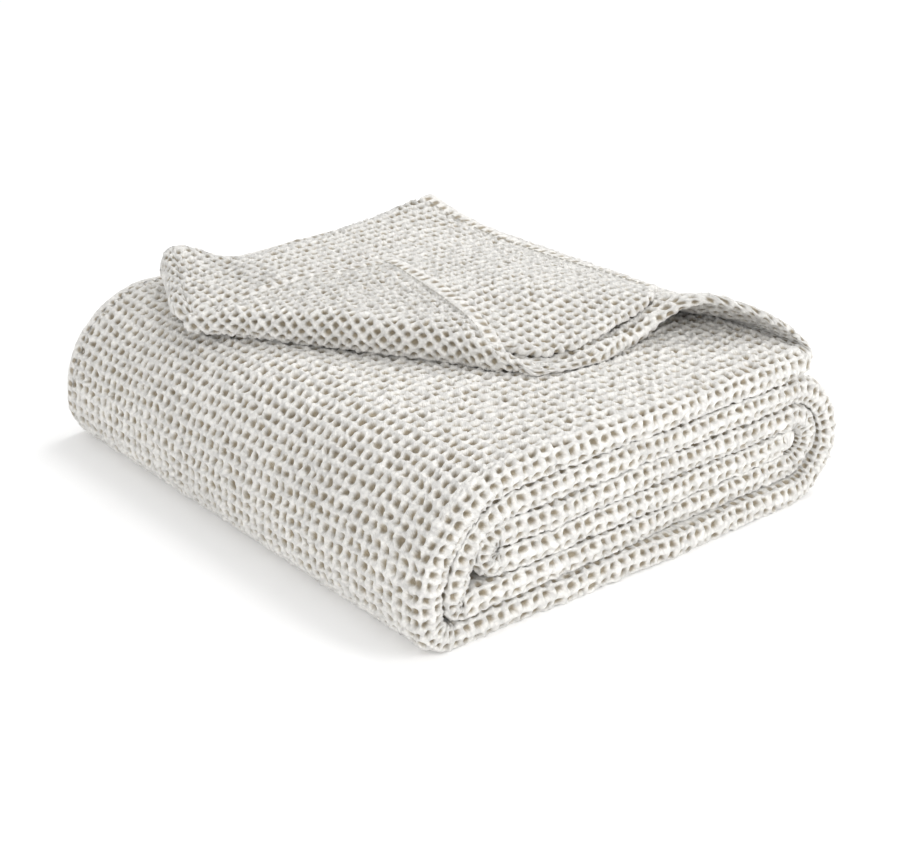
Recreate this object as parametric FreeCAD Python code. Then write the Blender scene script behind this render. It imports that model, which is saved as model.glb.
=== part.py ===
"""A throw blanket of waffle-woven cotton, folded in four across its width, rolled flat, with a loose end flap.

X runs across the roll, Y along its width, Z up. The origin is on the surface it lies on, under its middle.
Lengths are in millimetres. Each stretch of cloth between two fold lines is a solid of its own.
"""
import FreeCAD
import Part
import math
import os

# Driving dimensions of the throw and of the way it is folded
throw_width = 1272.0        # the flat throw's width
ply_count = 4               # cloth folded in four across its width
band = 13.4                 # thickness of the four plies together
layer = 13.5                # height of one layer of the roll
roll_depth = 272.0          # from the left wall to the right fold
roll_layers = 6             # layers between the floor and the top
joint_gap = 0.1             # neighbouring layers stay this far apart
ply = 3.4                   # one ply of the loose flap
lower_thickness = 8.2       # the flap's lower plies where they lie together
hem_width = 8.0             # every hem is turned in this far
hem_thickness = 3.0
thread = 0.7                # the hem stitching stands this proud
stitch_inset = 1.2

# Left wall: the cloth goes round it with a tight lower corner and a soft shoulder
outer_lower_radius = 20.0
outer_shoulder_radius = 32.0
middle_lower_radius = 8.0
middle_shoulder_radius = 20.0

# Nose of the top layer, where the cloth turns up into the flap
nose_start = 98.0
nose_reach = 117.0
nose_lip = 81.5
hinge_x = 112.0
hinge_z = 83.0

# The flap: it arches up from the nose and comes down on the top layer
flap_clearance = 0.8        # above the top layer
arch_end = 50.0             # where the arch comes down to rest
arch_start = 107.5
flap_back = 157.0           # the flap's cloth is no wider than this

# The turned corner: its diagonal fold runs from the fold's front end to its tip
fold_front = FreeCAD.Vector(-30.0, -84.0, 0.0)
fold_tip = FreeCAD.Vector(-112.0, 66.0, 0.0)
corner_point = FreeCAD.Vector(2.0, 38.0, 0.0)
corner_bottom = 98.6
roll_width = 13.0

strip_width = throw_width / ply_count
half_width = strip_width / 2
half_depth = roll_depth / 2
stack_top = roll_layers * layer
right_centre = half_depth - (4 * layer + band) / 2

os.makedirs("parts", exist_ok=True)


def save(name, shape):
    """Write one node and say how many solids it holds and how large they are."""
    if not shape.isValid():
        raise ValueError(name + " is not valid")
    solids = shape.Solids
    node = solids[0] if len(solids) == 1 else Part.makeCompound(solids)
    node.exportStep("parts/" + name + ".step")
    box = node.BoundBox
    print(name, len(solids), round(node.Volume), [round(v, 1) for v in (box.XMin, box.YMin, box.ZMin,
                                                                       box.XMax, box.YMax, box.ZMax)])


def point(x, z, y=0.0):
    """A point of a profile in the XZ plane."""
    return FreeCAD.Vector(x, y, z)


def prism(points, bottom, top):
    """A plan outline, a list of (x, y), raised from bottom to top."""
    corners = [FreeCAD.Vector(x, y, bottom) for x, y in points]
    face = Part.Face(Part.makePolygon(corners + corners[:1]))
    return face.extrude(FreeCAD.Vector(0, 0, top - bottom))


def along_width(face, start, end):
    """Carry a profile face in the XZ plane from y = start to y = end."""
    face.translate(FreeCAD.Vector(0, start, 0))
    return face.extrude(FreeCAD.Vector(0, end - start, 0))


def round_front(solid, radius):
    """Round the two long edges of a layer's front face, which is a fold of the cloth."""
    front = solid.BoundBox.YMin
    edges = [e for e in solid.Edges if abs(e.BoundBox.YMin - front) < 0.01 and abs(e.BoundBox.YMax - front) < 0.01
             and e.BoundBox.XLength > 20 * radius]
    return solid.makeFillet(radius, edges)


def panel(level, start, end):
    """One flat layer of the roll, front edge rounded, stopping short of its side hems at the back."""
    block = Part.makeBox(end - start, strip_width - hem_width, band, point(start, level * layer, -half_width))
    return round_front(block, band * 0.42)


def right_turn(low, high, centre, inner):
    """A half-round fold on the right, from layer low up to layer high, about a line x = centre."""
    bottom = low * layer
    top = high * layer + band
    middle = (bottom + top) / 2
    outer_radius = (top - bottom) / 2
    outer = [Part.Arc(point(centre, bottom), point(centre + outer_radius, middle), point(centre, top)).toShape()]
    if inner:
        gap = outer_radius - band
        arc = Part.Arc(point(centre, top - band), point(centre + gap, middle), point(centre, bottom + band)).toShape()
        ends = [Part.makeLine(point(centre, top), point(centre, top - band)),
                Part.makeLine(point(centre, bottom + band), point(centre, bottom))]
        wire = Part.Wire([outer[0], ends[0], arc, ends[1]])
    else:
        wire = Part.Wire([outer[0], Part.makeLine(point(centre, top), point(centre, bottom))])
    return along_width(Part.Face(wire), -half_width, half_width)


def wall_outline(left, start, bottom, top, lower_radius, shoulder_radius):
    """Outline of a left wall: a rectangle open on the right whose two left corners are rounded."""
    turn = math.sqrt(0.5)
    low_centre = point(left + lower_radius, bottom + lower_radius)
    high_centre = point(left + shoulder_radius, top - shoulder_radius)
    low_middle = low_centre + point(-lower_radius * turn, -lower_radius * turn)
    high_middle = high_centre + point(-shoulder_radius * turn, shoulder_radius * turn)
    low_arc = Part.Arc(point(left + lower_radius, bottom), low_middle, point(left, bottom + lower_radius))
    high_arc = Part.Arc(point(left, top - shoulder_radius), high_middle, point(left + shoulder_radius, top))
    return [Part.makeLine(point(start, bottom), point(left + lower_radius, bottom)),
            low_arc.toShape(),
            Part.makeLine(point(left, bottom + lower_radius), point(left, top - shoulder_radius)),
            high_arc.toShape(),
            Part.makeLine(point(left + shoulder_radius, top), point(start, top))]


def wall_solid(left, start, bottom, top, lower_radius, shoulder_radius):
    """The whole space inside a left wall's outline, closed on the right."""
    edges = wall_outline(left, start, bottom, top, lower_radius, shoulder_radius)
    edges.append(Part.makeLine(point(start, top), point(start, bottom)))
    return along_width(Part.Face(Part.Wire(edges)), -half_width, half_width)


def ribbon_wire(points, y):
    """A closed outline around a smooth centre line in the XZ plane, from (x, z, thickness) stations."""
    curve = Part.BSplineCurve()
    curve.interpolate([point(x, z) for x, z, thickness in points])
    upper = []
    lower = []
    for x, z, thickness in points:
        here = point(x, z, y)
        along = FreeCAD.Vector(*curve.tangent(curve.parameter(point(x, z)))[0])
        offset = FreeCAD.Vector(-along.z, 0, along.x) * (thickness / 2)
        if offset.z < 0:
            offset = offset * -1
        upper.append(here + offset)
        lower.append(here - offset)
    top = Part.BSplineCurve()
    top.interpolate(upper)
    low = Part.BSplineCurve()
    low.interpolate(lower)
    return Part.Wire([top.toShape(), Part.makeLine(upper[-1], lower[-1]),
                      low.toShape(), Part.makeLine(lower[0], upper[0])])


def ribbon(front_points, back_points):
    """A ply whose profile changes evenly from the front face to the back."""
    front = ribbon_wire(front_points, -half_width)
    back = ribbon_wire(back_points, flap_back)
    return Part.makeLoft([front, back], True, True)


def bar(start, end, width, height):
    """A straight strip on a line between two points, its underside on the line."""
    run = FreeCAD.Vector(end.x - start.x, end.y - start.y, 0)
    side = FreeCAD.Vector(-run.y, run.x, 0).normalize() * (width / 2)
    face = Part.Face(Part.makePolygon([start + side, start - side, end - side, end + side, start + side]))
    return face.extrude(FreeCAD.Vector(0, 0, height))


# The roll: six layers, from the bottom up. The cloth's own order is bottom, right fold, upper outer,
# left fold, lower inner, right fold, upper inner, left fold, tongue.
outer_left = -half_depth
middle_left = outer_left + band + joint_gap
inner_left = middle_left + band + joint_gap
left_joint = outer_left + outer_shoulder_radius + 2
inner_turn_radius = (2 * layer - joint_gap) / 2
inner_joint = inner_left + inner_turn_radius

save("bottom_layer", panel(0, left_joint, right_centre))
save("lower_inner_layer", panel(1, left_joint, right_centre))
save("tongue_layer", panel(2, inner_joint, right_centre - hem_width))
save("upper_inner_layer", panel(3, inner_joint, right_centre))
save("upper_outer_layer", panel(4, left_joint, right_centre))
save("top_layer", panel(5, left_joint, nose_start))

save("outer_right_fold", right_turn(0, 4, right_centre, True))
save("inner_right_fold", right_turn(1, 3, right_centre, True))

outer_solid = wall_solid(outer_left, left_joint, 0, stack_top - joint_gap, outer_lower_radius, outer_shoulder_radius)
outer_hollow = wall_solid(outer_left + band, left_joint, band, stack_top - joint_gap - band,
                          outer_lower_radius - band, outer_shoulder_radius - band)
save("outer_left_fold", outer_solid.cut(outer_hollow))

middle_top = 4 * layer + band
middle_solid = wall_solid(middle_left, left_joint, layer, middle_top, middle_lower_radius, middle_shoulder_radius)
middle_hollow = wall_solid(middle_left + band, left_joint, layer + band, middle_top - band,
                           1.0, middle_shoulder_radius - band)
save("middle_left_fold", middle_solid.cut(middle_hollow))

inner_middle = 3 * layer - joint_gap / 2
inner_arc = Part.Arc(point(inner_joint, 2 * layer), point(inner_left, inner_middle), point(inner_joint, 4 * layer - joint_gap))
inner_face = Part.Face(Part.Wire([inner_arc.toShape(),
                                  Part.makeLine(point(inner_joint, 4 * layer - joint_gap), point(inner_joint, 2 * layer))]))
save("inner_left_fold", along_width(inner_face, -half_width, half_width))

# The nose of the top layer rolls up to the line where the flap bends
nose_bottom = 5 * layer
nose_arc = Part.Arc(point(nose_reach - 9, nose_bottom), point(nose_reach, nose_bottom + band / 2),
                    point(nose_reach - 3.6, nose_lip))
nose_edges = [Part.makeLine(point(nose_start, nose_bottom), point(nose_reach - 9, nose_bottom)),
              nose_arc.toShape(),
              Part.makeLine(point(nose_reach - 3.6, nose_lip), point(nose_reach - 11, nose_lip)),
              Part.makeLine(point(nose_reach - 11, nose_lip), point(nose_start, nose_bottom + band)),
              Part.makeLine(point(nose_start, nose_bottom + band), point(nose_start, nose_bottom))]
save("top_fold_nose", along_width(Part.Face(Part.Wire(nose_edges)), -half_width, half_width))

# The flap's lower plies, from the nose over the arch and flat on the top layer. The upper ply has its
# profile at the same stations across the roll. Both are narrower than the roll and stop short of its back.
rest_bottom = stack_top - joint_gap + flap_clearance
rest_z = rest_bottom + lower_thickness / 2
stations = [107.5, 101.0, 87.0, 70.0, arch_end]
lower_plies = [ply, ply, ply, 5.0, lower_thickness]
front_lower = [85.4, 92.5, 100.6, 96.0, rest_z]
back_lower = [84.6, 86.0, 88.6, 87.6, rest_z]
lower_ribbon = ribbon(list(zip(stations, front_lower, lower_plies)), list(zip(stations, back_lower, lower_plies)))
front_outline = [(109.0, -156.0), (103.0, -140.0), (95.0, -124.0), (82.0, -110.0), (68.0, -100.0),
                 (arch_end, -95.0)]
back_outline = [(arch_end, 110.0), (80.0, 118.0), (97.0, 132.0), (109.0, 152.0)]
save("flap_arch", lower_ribbon.common(prism(front_outline + back_outline, 0, 200)))

peak = (-74.0, 142.0)
back_edge = [(-60.0, 120.0), (-38.0, 106.0), (5.0, 106.0)]
rest_outline = [(arch_end - 0.4, -95.0), (18.0, -98.0), (-6.0, -95.0), (fold_front.x, fold_front.y),
                (fold_tip.x, fold_tip.y), peak] + back_edge + [(arch_end - 0.4, 110.0)]
save("flap_lower_plies", prism(rest_outline, rest_bottom, rest_bottom + lower_thickness))

# The flap's upper ply lies loosely on the lower ones and ends in the throw's own hem
upper_stations = stations[1:] + [25.0, -10.0, -60.0, -116.0]
front_upper = [96.8, 105.0, 101.4, 97.0, 93.5, 92.6, 93.2, 93.2]
back_upper = [90.6, 93.2, 94.0, 95.5, 96.4, 96.4, 96.4, 94.0]


def upper_ribbon(rise, thickness):
    """The upper ply's surface, or a layer that lies rise above it."""
    return ribbon([(x, z + rise, thickness) for x, z in zip(upper_stations, front_upper)],
                  [(x, z + rise, thickness) for x, z in zip(upper_stations, back_upper)])


hem_front = FreeCAD.Vector(78.0, -72.0, 0.0)
hem_back = FreeCAD.Vector(80.0, 110.0, 0.0)
hem_run = (hem_back - hem_front).normalize()
hem_side = FreeCAD.Vector(hem_run.y, -hem_run.x, 0)
hem_outer = [hem_front + hem_side * hem_width, hem_back + hem_side * hem_width]
upper_outline = [(hem_front.x, hem_front.y), (62.0, -88.0), (44.0, -90.0), (20.0, -91.0), (0.0, -89.0),
                 (-16.0, -80.0), (fold_tip.x + 8.0, fold_tip.y - 2.0), (peak[0] + 1.0, peak[1] - 3.0),
                 (-58.0, 116.0), (-36.0, 102.0), (5.0, 102.0), (40.0, 105.0), (hem_back.x, hem_back.y)]
save("flap_upper_ply", upper_ribbon(0, ply).common(prism(upper_outline, 0, 200)))
hem_outline = [(p.x, p.y) for p in (hem_front, hem_outer[0], hem_outer[1], hem_back)]
save("end_hem", upper_ribbon(0, ply).common(prism(hem_outline, 0, 200)))
stitch_from = hem_front + hem_side * stitch_inset + hem_run * 4
stitch_to = hem_back + hem_side * stitch_inset - hem_run * 4
stitch_strip = bar(stitch_from, stitch_to, thread, 200)
save("end_hem_stitching", upper_ribbon((ply + thread) / 2 + 0.35, thread).common(stitch_strip))

# The turned corner lies on the upper ply; a plump roll of cloth joins it to the lower plies
across = FreeCAD.Vector(fold_tip.y - fold_front.y, fold_front.x - fold_tip.x, 0).normalize()
fold_run = (fold_tip - fold_front).normalize()
roll_start = fold_front + fold_run * 6 - across * (roll_width / 2 + 0.4)
roll_end = fold_tip - fold_run * 4 - across * (roll_width / 2 + 0.4)
roll_bottom = rest_bottom
roll_height = corner_bottom - 0.6 - roll_bottom
roll = bar(roll_start + FreeCAD.Vector(0, 0, roll_bottom), roll_end + FreeCAD.Vector(0, 0, roll_bottom),
           roll_width, roll_height)
roll_edges = [e for e in roll.Edges if e.Length > 100 and
              (e.CenterOfMass - (roll_start + roll_end) / 2).dot(across) < 0]
save("corner_fold", roll.makeFillet(roll_width * 0.45, roll_edges))

corner_edge = -roll_width - 1.5
corner_front = fold_front + fold_run * 8 + across * corner_edge
corner_tip = fold_tip - fold_run * 6 + across * corner_edge
side_one = (corner_point - corner_front).normalize()
side_two = (corner_point - corner_tip).normalize()
inset_one = FreeCAD.Vector(side_one.y, -side_one.x, 0) * hem_width
inset_two = FreeCAD.Vector(-side_two.y, side_two.x, 0) * hem_width
whole_corner = [(corner_front.x, corner_front.y), (corner_point.x, corner_point.y), (corner_tip.x, corner_tip.y)]


def half_plane(base, direction, keep_left):
    """A wide slab of plan area on one side of a line."""
    side = FreeCAD.Vector(-direction.y, direction.x, 0) * (400.0 if keep_left else -400.0)
    start = base - direction * 400.0
    end = base + direction * 400.0
    return prism([(start.x, start.y), (end.x, end.y), (end.x + side.x, end.y + side.y),
                  (start.x + side.x, start.y + side.y)], 0, 200)


corner_plate = prism(whole_corner, corner_bottom, corner_bottom + ply)
inside_one = half_plane(corner_point - inset_one, side_one, True)
inside_two = half_plane(corner_point - inset_two, side_two, False)
corner_cloth = corner_plate.common(inside_one).common(inside_two)
hem_plate = prism(whole_corner, corner_bottom, corner_bottom + hem_thickness)
save("turned_corner", corner_cloth)
save("corner_hems", hem_plate.cut(inside_one.common(inside_two)))

# Hems at the tongue's end and along the back of every layer
tongue_hem = Part.makeBox(hem_width, strip_width - hem_width, band,
                          point(right_centre - hem_width, 2 * layer, -half_width))
save("tongue_hem", tongue_hem)
side_hems = []
for level in range(roll_layers):
    start = inner_joint if level in (2, 3) else left_joint
    end = nose_start if level == 5 else right_centre
    for height in (0.2, band / 2 + 0.2):
        side_hems.append(Part.makeBox(end - start, hem_width, band / 2 - 0.4,
                                      point(start, level * layer + height, half_width - hem_width)))
save("side_hems", Part.makeCompound(side_hems))

# Stitching of the corner's hems: a raised thread along the inner side of each
lift = FreeCAD.Vector(0, 0, 1)
corner_top = lift * (corner_bottom + ply)
stitch_shift_one = inset_one * (1 + stitch_inset / hem_width)
stitch_shift_two = inset_two * (1 + stitch_inset / hem_width)
corner_stitches = []
for start, run, shift, length in ((corner_front, side_one, stitch_shift_one, (corner_point - corner_front).Length),
                                  (corner_tip, side_two, stitch_shift_two, (corner_point - corner_tip).Length)):
    first = start - shift + run * 22 + corner_top
    last = start - shift + run * (length - 14) + corner_top
    corner_stitches.append(bar(first, last, thread, thread))
save("corner_hem_stitching", Part.makeCompound(corner_stitches))

print("corner hinge at", corner_front - across, "along", fold_run * -1)
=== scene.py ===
import bpy
import numpy as np
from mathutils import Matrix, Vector


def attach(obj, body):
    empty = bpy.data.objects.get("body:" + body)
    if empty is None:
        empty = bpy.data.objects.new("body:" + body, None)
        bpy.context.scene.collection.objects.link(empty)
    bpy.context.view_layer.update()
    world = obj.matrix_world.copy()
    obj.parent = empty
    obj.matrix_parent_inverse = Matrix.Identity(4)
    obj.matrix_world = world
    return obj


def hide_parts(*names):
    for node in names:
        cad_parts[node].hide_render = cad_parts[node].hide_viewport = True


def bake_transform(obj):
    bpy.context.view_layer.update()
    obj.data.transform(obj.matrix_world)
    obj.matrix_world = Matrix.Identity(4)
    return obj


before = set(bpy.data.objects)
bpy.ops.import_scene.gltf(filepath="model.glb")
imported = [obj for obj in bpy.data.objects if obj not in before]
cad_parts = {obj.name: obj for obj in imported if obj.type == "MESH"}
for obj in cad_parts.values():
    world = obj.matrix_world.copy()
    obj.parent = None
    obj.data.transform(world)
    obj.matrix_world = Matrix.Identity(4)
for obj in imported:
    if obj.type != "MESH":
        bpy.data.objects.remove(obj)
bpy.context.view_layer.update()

# Lengths are in millimetres until a mesh is made. X runs across the roll, Y along its width, Z up.
waffle = {"pitch": 6.35, "relief": 2.3, "pitPower": 3.0, "pit": (0.26, 0.88), "perCell": 8, "wander": 0.12,
          "drift": 0.24, "uneven": 0.34, "nub": 0.27, "wobble": 0.08, "crossing": 0.5}


def ease(x):
    # 3x^2 - 2x^3, held at 0 below 0 and at 1 above 1
    x = np.clip(x, 0, 1)
    return x * x * (3 - 2 * x)


def softNoise(x, y, seed):
    # random values from -1 to 1 on whole-number points, joined by the eased step above
    table = np.random.default_rng(seed).uniform(-1, 1, (64, 64))
    i, j = np.floor(x).astype(int), np.floor(y).astype(int)
    u, v = ease(x - i), ease(y - j)
    i0, i1, j0, j1 = i % 64, (i + 1) % 64, j % 64, (j + 1) % 64
    near = table[i0, j0] * (1 - u) + table[i1, j0] * u
    far = table[i0, j1] * (1 - u) + table[i1, j1] * u
    return near * (1 - v) + far * v


def throughPoints(stations, t):
    # cubic through the stations: each slope is half the difference of the two neighbours, or the whole
    # difference to the only one at an end; t counts stations from 0
    p = np.asarray(stations, float)
    p = p[:, None] if p.ndim == 1 else p
    slope = np.gradient(p, axis=0)
    i = np.clip(np.floor(t).astype(int), 0, len(p) - 2)
    u = (t - i)[..., None]
    value = ((1 + 2 * u) * (1 - u) ** 2 * p[i] + u * (1 - u) ** 2 * slope[i]
             + u ** 2 * (3 - 2 * u) * p[i + 1] + u ** 2 * (u - 1) * slope[i + 1])
    return value if value.shape[-1] > 1 else value[..., 0]


def along(x, knots):
    # straight runs between (x, value) pairs, in any order of x, rounded off by averaging five shifted copies
    k = np.array(sorted(knots))
    return sum(np.interp(x + d, k[:, 0], k[:, 1]) for d in (-4.0, -2.0, 0.0, 2.0, 4.0)) / 5


def wandering(a, b):
    # weave coordinates in squares, pushed about by a fine and a broad noise, so no row runs quite straight
    fine, broad = waffle["wander"], waffle["drift"]
    da = fine * softNoise(a * 1.7, b * 1.7, 11) + broad * softNoise(a / 6, b / 6, 12)
    db = fine * softNoise(a * 1.7 + 9, b * 1.7, 13) + broad * softNoise(a / 6, b / 6, 14)
    return a + da, b + db


def waffleHeight(a, b):
    # how far a point is from its square's middle, as a rounded square's radius: 0 in the pit, 1 on the
    # ridges and more where they cross. The pit rises to the ridge by an eased step, crossings swell, and
    # nubs of yarn roughen it all
    da, db = 2 * np.abs(a - np.floor(a) - 0.5), 2 * np.abs(b - np.floor(b) - 0.5)
    radius = (da ** waffle["pitPower"] + db ** waffle["pitPower"]) ** (1 / waffle["pitPower"])
    low, high = waffle["pit"]
    radius = radius + waffle["wobble"] * softNoise(a * 1.3 + 7, b * 1.3, 18)
    rise = ease((radius - low) / (high - low)) + waffle["crossing"] * np.maximum(radius - 1, 0)
    loose = 1 + waffle["uneven"] * softNoise(a * 1.9, b * 1.9, 15)
    nubs = waffle["nub"] * (softNoise(a * 3.3, b * 3.3, 16) + 0.6 * softNoise(a * 5.9, b * 5.9, 17))
    return (rise - 0.5) * loose + nubs


def gridNormals(p):
    # cross product of central differences, the columns closing on themselves
    du = np.gradient(p, axis=0)
    dv = np.roll(p, -1, axis=1) - np.roll(p, 1, axis=1)
    n = np.cross(du, dv)
    return n / np.maximum(np.linalg.norm(n, axis=2, keepdims=True), 1e-9)


def ringColumns(face, nose, under, heel, power=0.8):
    # one lap round the cloth's section: along the outer face from back to front, round the front nose, back
    # along the inner face, round the back. across runs 0 at the back to 1 at the front, depth 0 outer to 1
    # inner, the noses stand out by a sine to a power, which squares them off
    front = np.linspace(0, np.pi, nose, endpoint=False)
    back = np.linspace(0, np.pi, heel, endpoint=False)
    zero = np.zeros
    bend = lambda lap: (1 - np.sign(np.cos(lap)) * np.abs(np.cos(lap)) ** power) / 2
    ring = {"across": np.concatenate([np.linspace(0, 1, face, endpoint=False), np.ones(nose),
                                      np.linspace(1, 0, under, endpoint=False), zero(heel)]),
            "depth": np.concatenate([zero(face), bend(front), np.ones(under), 1 - bend(back)]),
            "outFront": np.concatenate([zero(face), np.sin(front) ** power, zero(under), zero(heel)]),
            "outBack": np.concatenate([zero(face), zero(nose), zero(under), np.sin(back) ** power]),
            "lapFront": np.concatenate([zero(face), front / np.pi, np.ones(under + heel)]),
            "lapBack": np.concatenate([zero(face + nose + under), back / np.pi])}
    ring["isFace"] = np.arange(face + nose + under + heel) < face
    return ring


def ringQuads(rows, columns):
    # corner numbers of the quads between neighbouring rings, whose columns close on themselves
    i, j = np.meshgrid(np.arange(rows - 1), np.arange(columns), indexing="ij")
    k = (j + 1) % columns
    return np.stack([i * columns + j, (i + 1) * columns + j, (i + 1) * columns + k, i * columns + k], 2)


def meshPiece(name, points, uv, normals, slotName):
    # a grid of closed rings as quads, with one flat face closing each end
    rows, columns = points.shape[:2]
    quads = ringQuads(rows, columns).reshape(-1, 4)
    first, last = np.arange(columns), (rows - 1) * columns + np.arange(columns)[::-1]
    corners = np.concatenate([quads.ravel(), first, last])
    starts = np.concatenate([np.arange(len(quads)) * 4, [len(quads) * 4, len(quads) * 4 + columns]])
    return loopsToPiece(name, points, corners, starts, uv, normals, slotName)


def loopsToPiece(name, points, corners, starts, uv, normals, slotName):
    # vertices, corner list, face starts and weave coordinates written into a mesh, then its piece, slot and
    # finish
    p = points.reshape(-1, 3)
    mesh = bpy.data.meshes.new(name)
    mesh.vertices.add(len(p))
    mesh.vertices.foreach_set("co", (p * 0.001).astype(np.float32).ravel())
    mesh.loops.add(len(corners))
    mesh.loops.foreach_set("vertex_index", corners.astype(np.int32))
    mesh.polygons.add(len(starts))
    mesh.polygons.foreach_set("loop_start", starts.astype(np.int32))
    mesh.polygons.foreach_set("use_smooth", np.ones(len(starts), bool))
    layer = mesh.uv_layers.new(name="cloth")
    layer.data.foreach_set("uv", uv.reshape(-1, 2)[corners].astype(np.float32).ravel())
    mesh.update(calc_edges=True)
    if normals is not None:
        mesh.normals_split_custom_set_from_vertices(normals.reshape(-1, 3).tolist())
    piece = bpy.data.objects.new(name, mesh)
    bpy.context.scene.collection.objects.link(piece)
    mesh.materials.append(finishes[slotName])
    return piece


def outward(points):
    # +1 if the rings wind so that most grid normals point away from their ring's middle, else -1
    n = gridNormals(points)
    middle = points.mean(axis=1, keepdims=True)
    return 1.0 if np.median(((points - middle) * n).sum(axis=2)) >= 0 else -1.0


def clothPiece(name, points, uv, amount, slotName="waffle_cotton", margin=2, floor=None):
    # the weave's height, scaled by amount, lifts every point along the grid's normal, but none below the
    # floor; the margin rows only steady the normals and are cut away
    a, b = wandering(uv[..., 0], uv[..., 1])
    turn = outward(points)
    lifted = points + turn * gridNormals(points) * (waffleHeight(a, b) * amount)[..., None]
    if floor is not None:
        lifted[..., 2] = np.maximum(lifted[..., 2], floor)
    shade = turn * gridNormals(lifted)
    keep = slice(margin, len(points) - margin)
    p, n, t = lifted[keep], shade[keep], np.stack([a, b], 2)[keep]
    if turn < 0:
        p, n, t = p[:, ::-1], n[:, ::-1], t[:, ::-1]
    return meshPiece(name, p, t, n, slotName)


def node(tree, kind, inputs=(), **settings):
    # adds a node, sets its options, and fills its inputs with values or links
    made = tree.nodes.new("ShaderNode" + kind)
    for key, value in settings.items():
        setattr(made, key, value)
    for key, value in dict(inputs).items():
        if isinstance(value, bpy.types.NodeSocket):
            tree.links.new(value, made.inputs[key])
        else:
            made.inputs[key].default_value = value
    return made


def spreadOver(tree, value, low, high, ends):
    # value's run from low to high carried over to the run between the two ends, in a straight line
    return node(tree, "MapRange", {0: value, 1: low, 2: high, 3: ends[0], 4: ends[1]}).outputs[0]


# What every cotton shares; scales are per square of the weave, and a pair holds the two ends of a spread
fibres = {"roughness": 0.95, "specular": 0.2, "sheen": 0.25, "sheenRoughness": 0.6,
          "blotchScale": 1.6, "fibreScale": 9.0, "broadScale": 0.09, "shift": (-0.12, 0.12),
          # the pair after loopSpread paints a highlight on each yarn loop's middle and shade in the gaps
          # between loops
          "loopScale": 3.3, "loopSpread": 0.85, "loopHighlightShade": (1.05, 0.82), "speck": (0.88, 1.05),
          "cloud": (0.96, 1.02), "twistScale": 2.6, "twistShare": 0.3, "loopDepth": -1.8,
          "bumpDistance": 0.0007}


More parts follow.
